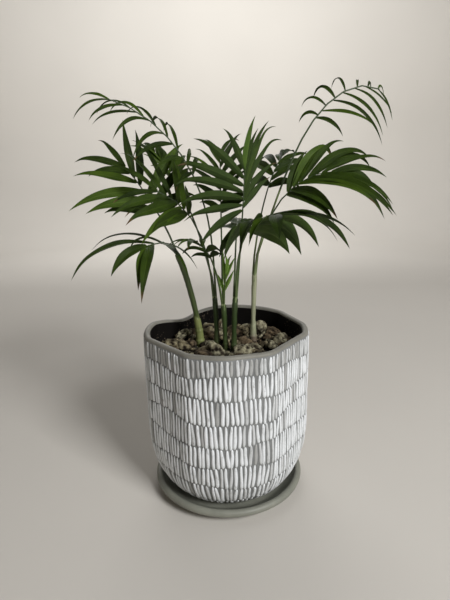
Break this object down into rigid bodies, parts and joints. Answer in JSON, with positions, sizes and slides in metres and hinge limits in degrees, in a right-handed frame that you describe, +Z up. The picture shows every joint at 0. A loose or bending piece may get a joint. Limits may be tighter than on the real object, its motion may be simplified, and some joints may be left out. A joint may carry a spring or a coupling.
{
  "type": "potted parlour palm",
  "caption": "Small feather-leaved palm in a hand-made ribbed stoneware pot on a round saucer, for a desk or shelf.",
  "frame": {"origin": "centre of the saucer's flat underside, where the plant stands", "axes": "+Z up along the pot; -Y is the front, +X is to the right seen from the front"},
  "size_m": [0.2259, 0.1513, 0.2991],
  "materials": {
    "saucer_stoneware": "smooth unglazed grey stoneware with a faint sheen",
    "pot_stoneware": "grey stoneware with rows of raised, white-slipped strokes",
    "pumice_bed": "rough pumice stones over dark potting soil",
    "green_stem": "smooth green cane with paler leaf sheaths",
    "palm_leaf": "semi-gloss dark green leaflets with fine parallel veins",
    "young_leaf": "soft yellow-green leaflets that are still opening"
  },
  "bodies": {
    "root": {"saucer": "saucer_stoneware", "pot": "pot_stoneware", "bed": "pumice_bed", "left_stem": "green_stem", "inner_left_stem": "green_stem", "centre_stem": "green_stem", "inner_right_stem": "green_stem", "right_stem": "green_stem", "frond_right_arching": "palm_leaf", "frond_right_broad": "palm_leaf", "frond_back_right": "palm_leaf", "frond_right_front": "palm_leaf", "frond_centre_upright": "palm_leaf", "frond_back_centre": "palm_leaf", "frond_centre_tall": "palm_leaf", "frond_front_small": "palm_leaf", "young_leaf": "young_leaf", "frond_left_arching": "palm_leaf", "frond_left_inner": "palm_leaf", "frond_back_left": "palm_leaf", "frond_left_broad": "palm_leaf", "frond_left_low": "palm_leaf"}
  },
  "joints": []
}
